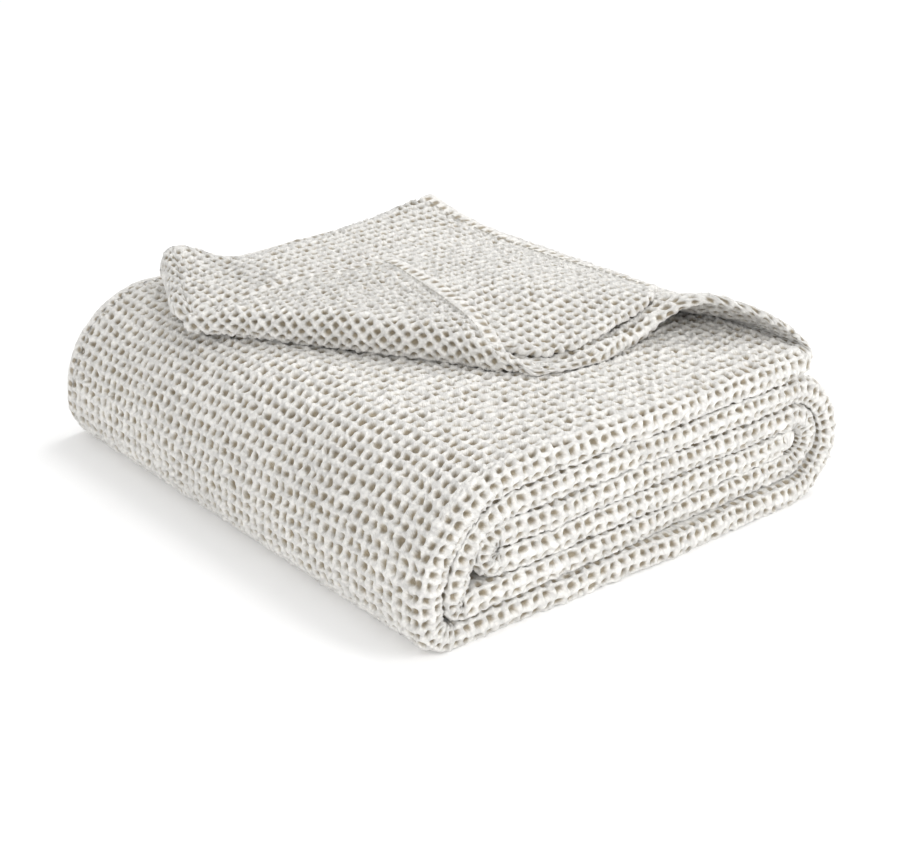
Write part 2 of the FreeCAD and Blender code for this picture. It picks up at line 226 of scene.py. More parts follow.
def cottonFinish(name, look):
    # the same rounded-square radius as the weave's height, from the piece's own weave coordinates, tells pit
    # from ridge, and the pits take the darker colour as painted shade; noise mottles it, the gaps between yarn
    # loops get painted shade and the loop middles a painted highlight, and loops and twisted yarn are a fine
    # bump
    material = bpy.data.materials.new(name)
    material.use_nodes = True
    tree = material.node_tree
    shader = tree.nodes["Principled BSDF"]
    shader.inputs["Roughness"].default_value = fibres["roughness"]
    shader.inputs["Specular IOR Level"].default_value = fibres["specular"]
    shader.inputs["Sheen Weight"].default_value = fibres["sheen"]
    shader.inputs["Sheen Roughness"].default_value = fibres["sheenRoughness"]
    cloth = node(tree, "UVMap", uv_map="cloth").outputs[0]
    parts = node(tree, "SeparateXYZ", {0: cloth})
    blotch = node(tree, "TexNoise", {"Vector": cloth, "Scale": fibres["blotchScale"], "Detail": 3.0,
                                     "Roughness": 0.6}).outputs[0]
    fibre = node(tree, "TexNoise",
                 {"Vector": cloth, "Scale": fibres["fibreScale"], "Detail": 4.0, "Roughness": 0.7}).outputs[0]
    broad = node(tree, "TexNoise",
                 {"Vector": cloth, "Scale": fibres["broadScale"], "Detail": 2.0}).outputs[0]
    shift = spreadOver(tree, blotch, 0.3, 0.7, fibres["shift"])
    radius = None
    for axis in look["axes"]:
        # twice the distance from the square's middle, to a power, summed over the axes
        away = node(tree, "Math", {0: parts.outputs[axis], 1: 0.5}, operation="PINGPONG").outputs[0]
        away = node(tree, "Math", {0: away, 1: -2.0, 2: 1.0}, operation="MULTIPLY_ADD").outputs[0]
        away = node(tree, "Math", {0: away, 1: waffle["pitPower"]}, operation="POWER").outputs[0]
        if radius is None:
            radius = away
        else:
            radius = node(tree, "Math", {0: radius, 1: away}, operation="ADD").outputs[0]
    radius = node(tree, "Math", {0: radius, 1: 1 / waffle["pitPower"]}, operation="POWER").outputs[0]
    radius = node(tree, "Math", {0: radius, 1: shift}, operation="ADD").outputs[0]
    # painted shade: 0 in the pits, which take the pit colour as painted shade, rising to 1 on the ridges
    outOfPitShade = node(tree, "MapRange", {0: radius, 1: look["yarn"][0], 2: look["yarn"][1], 3: 0.0, 4: 1.0},
                  interpolation_type="SMOOTHSTEP").outputs[0]
    colour = node(tree, "Mix", {0: outOfPitShade, 6: look["pit"], 7: look["ridge"]}, data_type="RGBA").outputs[2]
    loops = node(tree, "TexVoronoi",
                 {"Vector": cloth, "Scale": fibres["loopScale"], "Randomness": fibres["loopSpread"]},
                 feature="SMOOTH_F1").outputs[0]
    # painted highlight on the middle of each yarn loop, painted shade in the gaps between loops
    loopHighlightShade = spreadOver(tree, loops, 0.28, 0.62, fibres["loopHighlightShade"])
    speck = spreadOver(tree, fibre, 0.3, 0.7, fibres["speck"])
    # from here the speck also carries the loops' painted highlight and shade
    speck = node(tree, "Math", {0: speck, 1: loopHighlightShade}, operation="MULTIPLY").outputs[0]
    cloud = spreadOver(tree, broad, 0.3, 0.7, fibres["cloud"])
    toneAndLoopShade = node(tree, "Math", {0: speck, 1: cloud}, operation="MULTIPLY").outputs[0]
    toned = node(tree, "VectorMath", {0: colour, "Scale": toneAndLoopShade}, operation="SCALE").outputs[0]
    tree.links.new(toned, shader.inputs["Base Color"])
    slant = node(tree, "Mapping", {0: cloth, 2: (0, 0, 0.785)}).outputs[0]  # an eighth of a turn
    twist = node(tree, "TexWave", {"Vector": slant, "Scale": fibres["twistScale"], "Distortion": 3.0,
                                   "Detail": 2.0, "Detail Scale": 2.0}).outputs[1]
    yarn = node(tree, "Math", {0: twist, 1: fibres["twistShare"], 2: fibre},
                operation="MULTIPLY_ADD").outputs[0]
    yarn = node(tree, "Math", {0: loops, 1: fibres["loopDepth"], 2: yarn}, operation="MULTIPLY_ADD").outputs[0]
    bump = node(tree, "Bump", {"Strength": look["bump"], "Distance": fibres["bumpDistance"], "Height": yarn})
    tree.links.new(bump.outputs[0], shader.inputs["Normal"])
    return material


def plainFinish(name, colour, roughness, glow=0.0):
    material = bpy.data.materials.new(name)
    material.use_nodes = True
    shader = material.node_tree.nodes["Principled BSDF"]
    shader.inputs["Base Color"].default_value = colour
    shader.inputs["Roughness"].default_value = roughness
    shader.inputs["Specular IOR Level"].default_value = 0.1
    shader.inputs["Emission Color"].default_value = colour
    shader.inputs["Emission Strength"].default_value = glow
    return material


# Which weave axes have squares, where the colour turns from pit to ridge, the bump's strength, the two
# colours: the ridge's is the cloth's or thread's own, the pit's is that colour darkened by painted shade in
# the hollows
looks = {
    "waffle_cotton": {"axes": (0, 1), "yarn": (0.30, 0.80), "bump": 0.9,
                      "pit": (0.39, 0.33, 0.235, 1), "ridge": (0.96, 0.943, 0.905, 1)},
    "hem_cotton": {"axes": (0, 1), "yarn": (0.24, 0.70), "bump": 0.9,
                   "pit": (0.39, 0.33, 0.24, 1), "ridge": (0.95, 0.93, 0.89, 1)},
    "stitching_thread": {"axes": (0,), "yarn": (0.10, 0.70), "bump": 0.4,
                         "pit": (0.46, 0.43, 0.37, 1), "ridge": (0.74, 0.72, 0.67, 1)},
}
finishes = {
    "waffle_cotton": cottonFinish("waffleCotton", looks["waffle_cotton"]),
    "hem_cotton": cottonFinish("hemCotton", looks["hem_cotton"]),
    "stitching_thread": cottonFinish("stitchThread", looks["stitching_thread"]),
}
print("finishes made")

# The rolled strip: the throw folded in four across its width. Its course is the outer face of the cloth,
# from the top layer's right end, left, down the left wall and on inwards to the tongue: straights, and bends
# (radius, turn).
strip = {"start": (106.0, 81.0), "height": 81.0, "thick": 13.3, "front": -159.0, "back": 151.0,
         "selvedge": 159.0, "nose": 6.4, "noseCells": 4.0, "noseColumns": 30,
         "frontWander": (1.3, 0.5), "backWander": 0.8,
         "course": [(190.0,), (56.3, 90), (4.7,), (20.0, 90), (219.1,), (33.75, 180), (182.8,), (42.7, 90),
                    (11.2, 90), (214.3,), (20.2, 180), (193.3,), (13.4, 180), (189.5,)],
         # (arc length, how far the front edge moves) pairs
         "frontShift": [(0, 0), (300, 0), (345, -1.5), (390, -4.5), (520, -4.5), (570, -3), (640, 0),
                        (830, 0)],
         # rings per square of the weave on the top layer, and on stretches that end outside the close runs
         "topPerCell": 7.3, "plainPerCell": 6, "plainColumns": 10, "innerColumns": 8, "backColumns": 12,
         "closeRuns": ((0, 330), (560, 700)), "lobe": 0.7, "fineStep": 0.1, "bendSpare": 1.4, "fadeAfter": 22,
         "flare": 8.0, "flareTurn": 0.15, "sag": 2.2, "settle": 0.7}


def settle(p):
    # height lost in proportion to height, most behind the middle, with a broad unevenness; the left side
    # leans outwards towards the front and inwards towards the back
    x, y, z = p[..., 0], p[..., 1], p[..., 2]
    low = strip["sag"] * ease((y + 10) / 140) * (1 - 0.6 * ((x + 10) / 130) ** 2)
    q = p.copy()
    q[..., 0] = x - strip["flare"] * ease((-x - 10) / 130) * (strip["flareTurn"] - y / 157)
    q[..., 2] = z + z / strip["height"] * (strip["settle"] * softNoise(x / 55 + 3, y / 60 + 5, 21) - low)
    return q


def courseTable():
    # the course as fine steps: the heading turns evenly along each bend, and place is its running sum;
    # reach is how far the cloth can go inwards before a tight bend's centre
    steps, heading, reach = [], np.pi, []
    for part in strip["course"]:
        turn = np.radians(part[1]) if len(part) > 1 else 0.0
        length = part[0] * turn if turn else part[0]
        count = int(length / strip["fineStep"])
        steps += [(length / count, heading + turn * (n + 0.5) / count) for n in range(count)]
        reach += [min(strip["thick"], part[0] - strip["bendSpare"]) if turn else strip["thick"]] * count
        heading += turn
    steps = np.array(steps)
    s = np.concatenate([[0], np.cumsum(steps[:, 0])])
    x = strip["start"][0] + np.concatenate([[0], np.cumsum(steps[:, 0] * np.cos(steps[:, 1]))])
    z = strip["start"][1] + np.concatenate([[0], np.cumsum(steps[:, 0] * np.sin(steps[:, 1]))])
    angle = np.concatenate([steps[:1, 1], steps[:, 1]])
    width = 60  # steps on each side that the reach is averaged over
    share = np.ones(2 * width + 1) / (2 * width + 1)
    reach = np.convolve(np.pad(reach, width, mode="edge"), share, mode="valid")
    return s, x, z, angle, np.concatenate([reach[:1], reach])


course = courseTable()


def onCourse(s, inwards):
    # place of a point that lies inwards of the outer face at arc length s; past either end the course runs
    # on straight
    table, x, z, angle, reach = course
    past = s - np.clip(s, 0, table[-1])
    h = np.interp(s, table, angle)
    far = np.minimum(inwards, np.interp(s, table, reach) * inwards / strip["thick"])
    return (np.interp(s, table, x) + past * np.cos(h) - far * np.sin(h),
            np.interp(s, table, z) + past * np.sin(h) + far * np.cos(h))


def rollPiece(name, s0, s1, fine):
    # a stretch of the strip: each ring lies square to the course; hidden faces are coarse and carry no weave
    pitch = waffle["pitch"]
    close = any(low < s1 < high for low, high in strip["closeRuns"])
    step = pitch / (strip["topPerCell"] if s0 == 0 else waffle["perCell"] if close else strip["plainPerCell"])
    rows = int(round((s1 - s0) / step))
    s = s0 + (s1 - s0) / rows * np.arange(-2, rows + 3)[:, None]
    face = int((strip["back"] - strip["front"]) / step) if fine else strip["plainColumns"]
    ring = ringColumns(face, strip["noseColumns"], strip["innerColumns"], strip["backColumns"])
    knots = np.array(strip["frontShift"])
    front = strip["front"] + strip["nose"] + np.interp(s, knots[:, 0], knots[:, 1])
    front = front + strip["frontWander"][0] * softNoise(s / 45, s * 0, 31)
    front = front + strip["frontWander"][1] * softNoise(s / 9, s * 0, 32)
    back = strip["back"] + strip["backWander"] * softNoise(s / 40, s * 0 + 5, 33)
    # the back: the inner half of the plies is a fold that reaches the selvedge, the outer half ends short of
    # it
    lobe, split = ring["lapBack"], strip["lobe"]
    backDepth = np.where(lobe < split, 0.75 + 0.25 * np.cos(np.pi * lobe / split), 0.5 * (1 - lobe) / 0.3)
    depth = np.where(lobe > 0, backDepth, ring["depth"])
    out = (strip["selvedge"] - strip["back"]) * np.sin(np.pi * np.minimum(lobe, split) / split) ** 0.7
    out = np.where(lobe < split, out, 0)
    x, z = onCourse(s, depth * strip["thick"])
    y = back + ring["across"] * (front - back) - strip["nose"] * ring["outFront"] + out
    points = settle(np.stack([x, y + 0 * s, z], 2))
    bFace = (front - (back + ring["across"] * (front - back))) / pitch - strip["noseCells"] * ring["lapFront"]
    bInner = -strip["noseCells"] - (y - front) / pitch
    b = np.where(ring["isFace"] | (ring["lapFront"] < 1), bFace, bInner)
    uv = np.stack([s / pitch + 0 * b, b], 2)
    shown = np.ones_like(s) if fine else ease((ends[6] + strip["fadeAfter"] - s) / 20)
    lap = ring["lapFront"]
    onNose = ~ring["isFace"] & (lap < 1)
    amount = np.where(onNose, ease((1 - lap) * 4) * (shown + (1 - shown) * ease(lap * 5)), 0)
    amount = np.where(ring["isFace"], 1.0 if fine else 0.0, amount)
    amount = np.where((lobe > 0) & (lobe < split), 0.7 * np.sin(np.pi * lobe / split), amount)
    piece = clothPiece(name, points, uv, amount * waffle["relief"], floor=0.0)
    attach(piece, "root")
    return piece


lengths = [part[0] * np.radians(part[1]) if len(part) > 1 else part[0] for part in strip["course"]]
ends = np.concatenate([[0], np.cumsum(lengths)])
# each stretch: its name, its first and last end on the course, whether its face is seen, and the node it
# replaces
rollPlan = [("topLayer", 0, 1, True, "top_layer"),
            ("leftWall", 1, 4, True, "outer_left_fold"),
            ("bottomLayer", 4, 5, True, "bottom_layer"),
            ("rightFold", 5, 6, True, "outer_right_fold"),
            ("upperOuterLayer", 6, 7, False, "upper_outer_layer"),
            ("middleLeftFold", 7, 9, False, "middle_left_fold"),
            ("lowerInnerLayer", 9, 10, False, "lower_inner_layer"),
            ("innerRightFold", 10, 11, False, "inner_right_fold"),
            ("upperInnerLayer", 11, 12, False, "upper_inner_layer"),
            ("innerLeftFold", 12, 13, False, "inner_left_fold"),
            ("tongueLayer", 13, 14, False, "tongue_layer")]
for name, i, j, fine, stands in rollPlan:
    rollPiece(name, ends[i], ends[j], fine)
    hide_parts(stands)

# The flap: the strip turns up at the roll's right end, arches over and lies back on the top layer. Stations
# run from the top layer's end round the nose and leftwards: x, then outer and inner height at the front and
# at the back, then where the cloth's front and back edges run.
arch = {"stations": [
    # x outer, x inner, outer front, inner front, outer back, inner back, front edge, back edge
    (106.0, 106.0, 67.6, 80.9, 67.6, 80.9, -153.0, 151.0),
    (113.0, 109.4, 69.6, 81.5, 69.6, 81.5, -152.5, 151.0),
    (117.0, 110.6, 75.5, 82.9, 76.0, 82.6, -151.0, 150.5),
    (115.2, 109.6, 82.5, 85.4, 81.8, 84.0, -148.5, 148.5),
    (109.0, 105.8, 90.6, 90.2, 86.4, 85.2, -142.0, 143.0),
    (100.0, 97.8, 97.8, 95.4, 88.8, 86.2, -130.0, 134.0),
    (88.0, 87.0, 103.2, 99.8, 90.6, 87.2, -116.0, 124.0),
    (76.0, 76.4, 102.9, 99.2, 91.2, 87.6, -105.5, 117.0),
    (62.0, 63.6, 97.2, 92.6, 91.0, 86.6, -98.5, 112.0),
    (50.0, 51.5, 92.0, 85.4, 90.4, 84.0, -96.0, 108.0),
    (38.0, 39.0, 90.0, 82.4, 90.0, 82.4, -96.5, 102.0),
    (20.0, 20.0, 89.6, 81.8, 89.8, 81.8, -100.0, 96.0),
    (8.0, 8.0, 89.0, 81.8, 89.8, 81.8, -99.0, 94.0),
    (-5.0, -5.0, 88.2, 81.8, 89.6, 81.8, -97.0, 94.0),
    (-16.0, -16.0, 88.0, 81.8, 89.4, 81.8, -93.5, 94.0),
    (-22.0, -22.0, 88.0, 81.8, 89.4, 81.8, -88.0, 94.0),
    (-27.0, -27.0, 88.0, 81.8, 89.2, 81.8, -66.0, 94.0),
    (-34.0, -34.0, 88.0, 81.8, 89.2, 81.8, -46.0, 94.0),
    (-45.0, -45.0, 88.0, 81.8, 89.0, 81.8, -30.0, 97.0),
    (-57.0, -57.0, 88.0, 81.8, 89.0, 81.8, -8.0, 106.0),
    (-68.0, -68.0, 88.0, 81.8, 89.0, 81.8, 17.0, 119.0),
    (-80.0, -80.0, 88.0, 81.8, 89.0, 81.8, 41.0, 116.0),
    (-92.0, -92.0, 88.0, 81.8, 88.5, 81.8, 64.0, 92.0)],
    "fall": 42.0, "nose": 3.0, "noseMost": 6.0, "bend": 5.4, "rest": 9.2, "lip": 1.3, "underPly": 48,
    "below": 4.9, "closeness": 0.95, "across": 260, "noseColumns": 16, "backColumns": 8,
    "openColumns": 260, "hiddenColumns": 30,
    "amount": (0.85, 0.65, 0.7)}


def archGrid(first, last, under):
    # the stretch between two stations, joined smoothly and spaced evenly along the outer face; height falls
    # from the front profile to the back one by an eased step just behind the front edge, and both edges are
    # rounded noses. Left of underPly its face keeps below the upper ply
    pitch, step = waffle["pitch"] * arch["closeness"], waffle["pitch"] / waffle["perCell"]
    stations = np.array(arch["stations"])
    t = np.linspace(0, len(stations) - 1, 4000)
    fine = throughPoints(stations, t)
    run = np.concatenate([[0], np.cumsum(np.hypot(np.diff(fine[:, 0]), np.diff(fine[:, 2])))])
    s0, s1 = np.interp([first, last], t, run)
    rows = int(round((s1 - s0) / step))
    s = s0 + (s1 - s0) / rows * np.arange(-2, rows + 3)
    row = [np.interp(s, run, fine[:, n])[:, None] for n in range(8)]
    past = (s - np.clip(s, 0, run[-1]))[:, None]
    xOut, xIn, frontOut, frontIn, backOut, backIn, edgeFront, edgeBack = row
    frontIn = frontIn + arch["lip"] * ease((arch["underPly"] - xOut) / 20)
    xOut, xIn = xOut - past, xIn - past
    ring = ringColumns(int(arch["across"] / step), arch["noseColumns"], under, arch["backColumns"])
    y = edgeBack + ring["across"] * (edgeFront - edgeBack)
    share = ease((y - edgeFront) / arch["fall"])
    out = frontOut + share * (backOut - frontOut)
    inn = frontIn + share * (backIn - frontIn)
    out = np.where(xOut < arch["underPly"], np.minimum(out, flapPlan(xOut + 0 * y, y) - arch["below"]), out)
    depth = ring["depth"]
    thick = np.hypot(out - inn, xOut - xIn)
    noseOut = np.minimum(arch["nose"] * 0.6 + thick * 0.25, arch["noseMost"])
    x = xOut * (1 - depth) + xIn * depth
    z = out * (1 - depth) + inn * depth
    y = y + noseOut * (ring["outBack"] - ring["outFront"])
    lap = np.where(ring["isFace"], 0, ring["lapFront"]) * 2
    uv = np.stack([-s[:, None] / pitch + 0 * y, (y + noseOut * ring["outFront"]) / pitch + lap], 2)
    onFace, onNose, onRest = arch["amount"]
    amount = np.where(ring["isFace"], onFace, np.where(ring["lapFront"] < 1, onNose, onRest))
    return np.stack([x, y, z], 2), uv, amount * np.ones_like(y)


# The upper ply of the flap: its surface is a thin plate through a few heights, and its weave is drawn up a
# little.
upper = {"heights": [(72, -88, 102.5), (62, -88, 101.5), (44, -90, 98.5), (20, -91, 95.0), (0, -89, 92.0),
                     (-16, -80, 92), (-24, -66, 94), (57, -66, 102.5), (20, -38, 101.5), (-20, -8, 100),
                     (87, -73, 96.8), (87, -38, 96.3), (87, 0, 94.4), (87, 32, 95.0), (87, 65, 96.8),
                     (89, 104, 103.3), (60, 20, 97.5), (40, 106, 101.5), (0, 104, 100), (-40, 104, 100),
                     (-60, 116, 97.5), (-74, 141, 102), (-82, 122, 99), (-92, 104, 96), (-104, 84, 92),
                     (-112, 66, 89), (30, 40, 99.5), (-20, 40, 99.5), (-60, 60, 98), (-50, -50, 95),
                     (-80, 10, 94)],
         "front": [(79, -75), (72, -84), (64, -90), (41, -91.5), (20, -92.5), (0, -91.5), (-9, -87),
                   (-17, -79.5), (-22, -70), (-27, -58), (-34, -44), (-45, -28), (-57, -6), (-68, 17),
                   (-80, 41), (-94, 58), (-107, 63)],
         "back": [(82, 108), (62, 106), (40, 103), (5, 99), (-16, 98), (-36, 97), (-47, 99), (-56, 109),
                  (-63, 122), (-69, 136), (-72, 139), (-77, 129), (-85, 114), (-94, 98), (-103, 81),
                  (-107, 74)],
         "ply": 3.2, "foot": 82.0, "hemLine": 79.0, "tip": -106.5, "shrink": (0.86, 0.95), "backNose": 7.0,
         "frontNose": 1.6, "step": 0.74, "columns": (290, 10, 60, 32), "clear": 4.4, "clearFrom": 40,
         "swell": (0.5, 0.25), "edgeWander": (0.7, 0.8), "tipRound": 9}


def thinPlate(heights):
    # f = a + bx + cy + sum of w r^2 log r, with the weights solved so that f passes through every height
    p = np.array(heights, float)
    size = len(p)
    r = np.hypot(p[:, None, 0] - p[:, 0], p[:, None, 1] - p[:, 1]) / 100
    kernel = np.where(r > 0, r * r * np.log(np.maximum(r, 1e-9)), 0) + np.eye(size) * 0.0006
    flat = np.column_stack([np.ones(size), p[:, :2] / 100])
    system = np.block([[kernel, flat], [flat.T, np.zeros((3, 3))]])
    weights = np.linalg.solve(system, np.concatenate([p[:, 2], np.zeros(3)]))

    def surface(x, y):
        total = weights[size] + weights[size + 1] * x / 100 + weights[size + 2] * y / 100
        for n in range(size):
            d = np.maximum(np.hypot(x - p[n, 0], y - p[n, 1]) / 100, 1e-9)
            total = total + weights[n] * d * d * np.log(d)
        return total
    return surface


flapPlan = thinPlate(upper["heights"])


def plyTop(x, y):
    # the thin plate with a broad unevenness, held clear above the arch on the right side, where a small rise
    # rounds off the line along which the two meet
    rows = np.array(arch["stations"])[6:11][::-1]
    share = ease((y - np.interp(x, rows[:, 0], rows[:, 6])) / arch["fall"])
    ridge = (1 - share) * np.interp(x, rows[:, 0], rows[:, 2]) + share * np.interp(x, rows[:, 0], rows[:, 4])
    onArch = x > upper["clearFrom"]
    least = np.where(onArch, ridge + upper["clear"], 0)
    base = flapPlan(x, y) + upper["swell"][0] * softNoise(x / 22, y / 22, 41)
    base = base + upper["swell"][1] * softNoise(x / 9, y / 9, 42)
    return np.where(base > least, base, least) + 0.5 * np.exp(-((base - least) / 1.5) ** 2) * onArch


def upperGrid():
    # rows across the flap from the hem line to the tip; the ply is thin at its front edge and turns down
    # into a deep round nose along its back and left edges
    pitch = waffle["pitch"]
    ax, ay = upper["shrink"]
    first, last = upper["hemLine"], upper["tip"]
    rows = int((first - last) / upper["step"])
    x = first + (last - first) / rows * np.arange(-2, rows + 3)[:, None]
    ring = ringColumns(*upper["columns"])
    front, back = along(x, upper["front"]), along(x, upper["back"])
    front = front + upper["edgeWander"][0] * softNoise(x / 14, x * 0, 43)
    back = back + upper["edgeWander"][1] * softNoise(x / 16, x * 0, 44)
    slope = np.gradient(back[:, 0], x[:, 0])[:, None]
    lean = np.stack([-slope, np.ones_like(slope)], 2) / np.hypot(slope, 1)[..., None]
    y = back + ring["across"] * (front - back)
    top = plyTop(x + 0 * y, y)
    inner = top - upper["ply"]
    towards = ease((y - (back - 11)) / 7)
    inner = inner + towards * (upper["foot"] - inner)
    depth = ring["depth"]
    z = top * (1 - depth) + inner * depth
    out = ring["outBack"] * upper["backNose"]
    px = x + out * lean[..., 0]
    py = y + out * lean[..., 1] - upper["frontNose"] * ring["outFront"]
    plan = np.stack([px / (pitch * ax), py / (pitch * ay)], 2)
    fall = np.where(ring["lapBack"] > 0, (1 - ring["lapBack"]) * (top - upper["foot"]) / pitch, 0)
    plan[..., 0] += fall * lean[..., 0]
    plan[..., 1] += fall * lean[..., 1] + np.where(ring["isFace"], 0, -ring["lapFront"] * 0.7)
    amount = np.where(ring["lapFront"] < 1, 0.8, 0.2)
    amount = np.where(ring["isFace"] | (ring["lapBack"] > 0), 0.9, amount)
    near = np.clip((x - x[-3]) / upper["tipRound"], 0, 1)
    shrink = np.sqrt(np.maximum(1 - (1 - near) ** 2, 0.02))
    points = np.stack([px, py, z], 2)
    middle = points.mean(axis=1, keepdims=True)
    return middle + (points - middle) * shrink[..., None], plan, amount * np.ones_like(z) * shrink


archPieces = []
archEnd = len(arch["stations"]) - 1
shown, hidden = arch["openColumns"], arch["hiddenColumns"]
for name, first, last, under, stands in (("flapBend", 0, arch["bend"], shown, "top_fold_nose"),
                                         ("flapArch", arch["bend"], arch["rest"], shown, "flap_arch"),
                                         ("lowerPlies", arch["rest"], archEnd, hidden, "flap_lower_plies")):
    points, uv, amount = archGrid(first, last, under)
    archPieces.append(clothPiece(name, points, uv, amount * waffle["relief"]))
    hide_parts(stands)
flapBend, flapArch, lowerPlies = archPieces
points, uv, amount = upperGrid()
upperPly = clothPiece("upperPly", points, uv, amount * waffle["relief"])
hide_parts("flap_upper_ply")
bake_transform(flapBend)
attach(flapArch, "top_flap")
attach(lowerPlies, "top_flap")
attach(upperPly, "top_flap")
print("flap made")

# The turned corner: the upper ply's corner folded back over it. Its own axes run along the fold from the
# front end towards the tip, and across it over the flap.
corner = {"start": (-24.0, -90.0), "tip": (-114.0, 68.0), "point": (2.0, 38.0), "ply": 3.6, "gap": 0.3,
          "rollWide": 7.5, "foot": 83.3, "footLift": 0.8, "inside": 4, "crown": 1.2, "hem": 8.0,
          "relief": 1.0, "pitch": (5.0, 5.1), "tilt": 0.14, "sink": 8.0, "tipSink": 3.0, "swell": (0.7, 0.3),
          "swing": (12.0, 9.4), "swingFrom": 14.0, "frontEnd": -20.0, "rings": 258, "topColumns": 120,
          "edgeColumns": 6, "underColumns": 10, "innerColumns": 6, "footColumns": 4, "rollColumns": 40}
cornerA, cornerP, cornerQ = (np.array(corner[key]) for key in ("start", "tip", "point"))
foldLength = np.hypot(*(cornerP - cornerA))
foldRun = (cornerP - cornerA) / foldLength
foldSide = np.array([foldRun[1], -foldRun[0]])
sideOne = (cornerQ - cornerA) / np.hypot(*(cornerQ - cornerA))
sideTwo = (cornerP - cornerQ) / np.hypot(*(cornerP - cornerQ))
apexAlong, apexAcross = (cornerQ - cornerA) @ foldRun, (cornerQ - cornerA) @ foldSide


def swing(f):
    # how far the fold's front end swings aside to run into the flap's lip: grows with the square of the
    # distance past its start
    share = np.maximum(corner["swingFrom"] - f, 0) / (corner["swingFrom"] - corner["frontEnd"])
    return corner["swing"][0] * share ** 2, corner["swing"][1] * share ** 2


def cornerPlace(f, c):
    # plan position of a point f along the fold and c across it
    aside = swing(f)
    return (cornerA[0] + f * foldRun[0] + c * foldSide[0] + aside[0],
            cornerA[1] + f * foldRun[1] + c * foldSide[1] + aside[1])


def cornerReach(f):
    # how far the corner's cloth reaches across at f: straight to the point and straight back
    rising = apexAcross * f / apexAlong
    falling = apexAcross * (foldLength - f) / (foldLength - apexAlong)
    return np.where(f < apexAlong, rising, falling)


def cornerTop(x, y):
    # the upper surface of the turned corner: one ply above the upper ply, sinking towards both ends of the
    # fold, with soft swells of its own
    f = (x - cornerA[0]) * foldRun[0] + (y - cornerA[1]) * foldRun[1]
    sink = corner["sink"] * (1 - ease((f + 6) / 46)) + corner["tipSink"] * ease((f - foldLength + 34) / 34)
    broad, fine = softNoise(x / 26 + 4, y / 26, 51), softNoise(x / 10, y / 10, 52)
    swell = corner["swell"]
    return plyTop(x, y) - sink + corner["ply"] + corner["gap"] + swell[0] * broad + swell[1] * fine


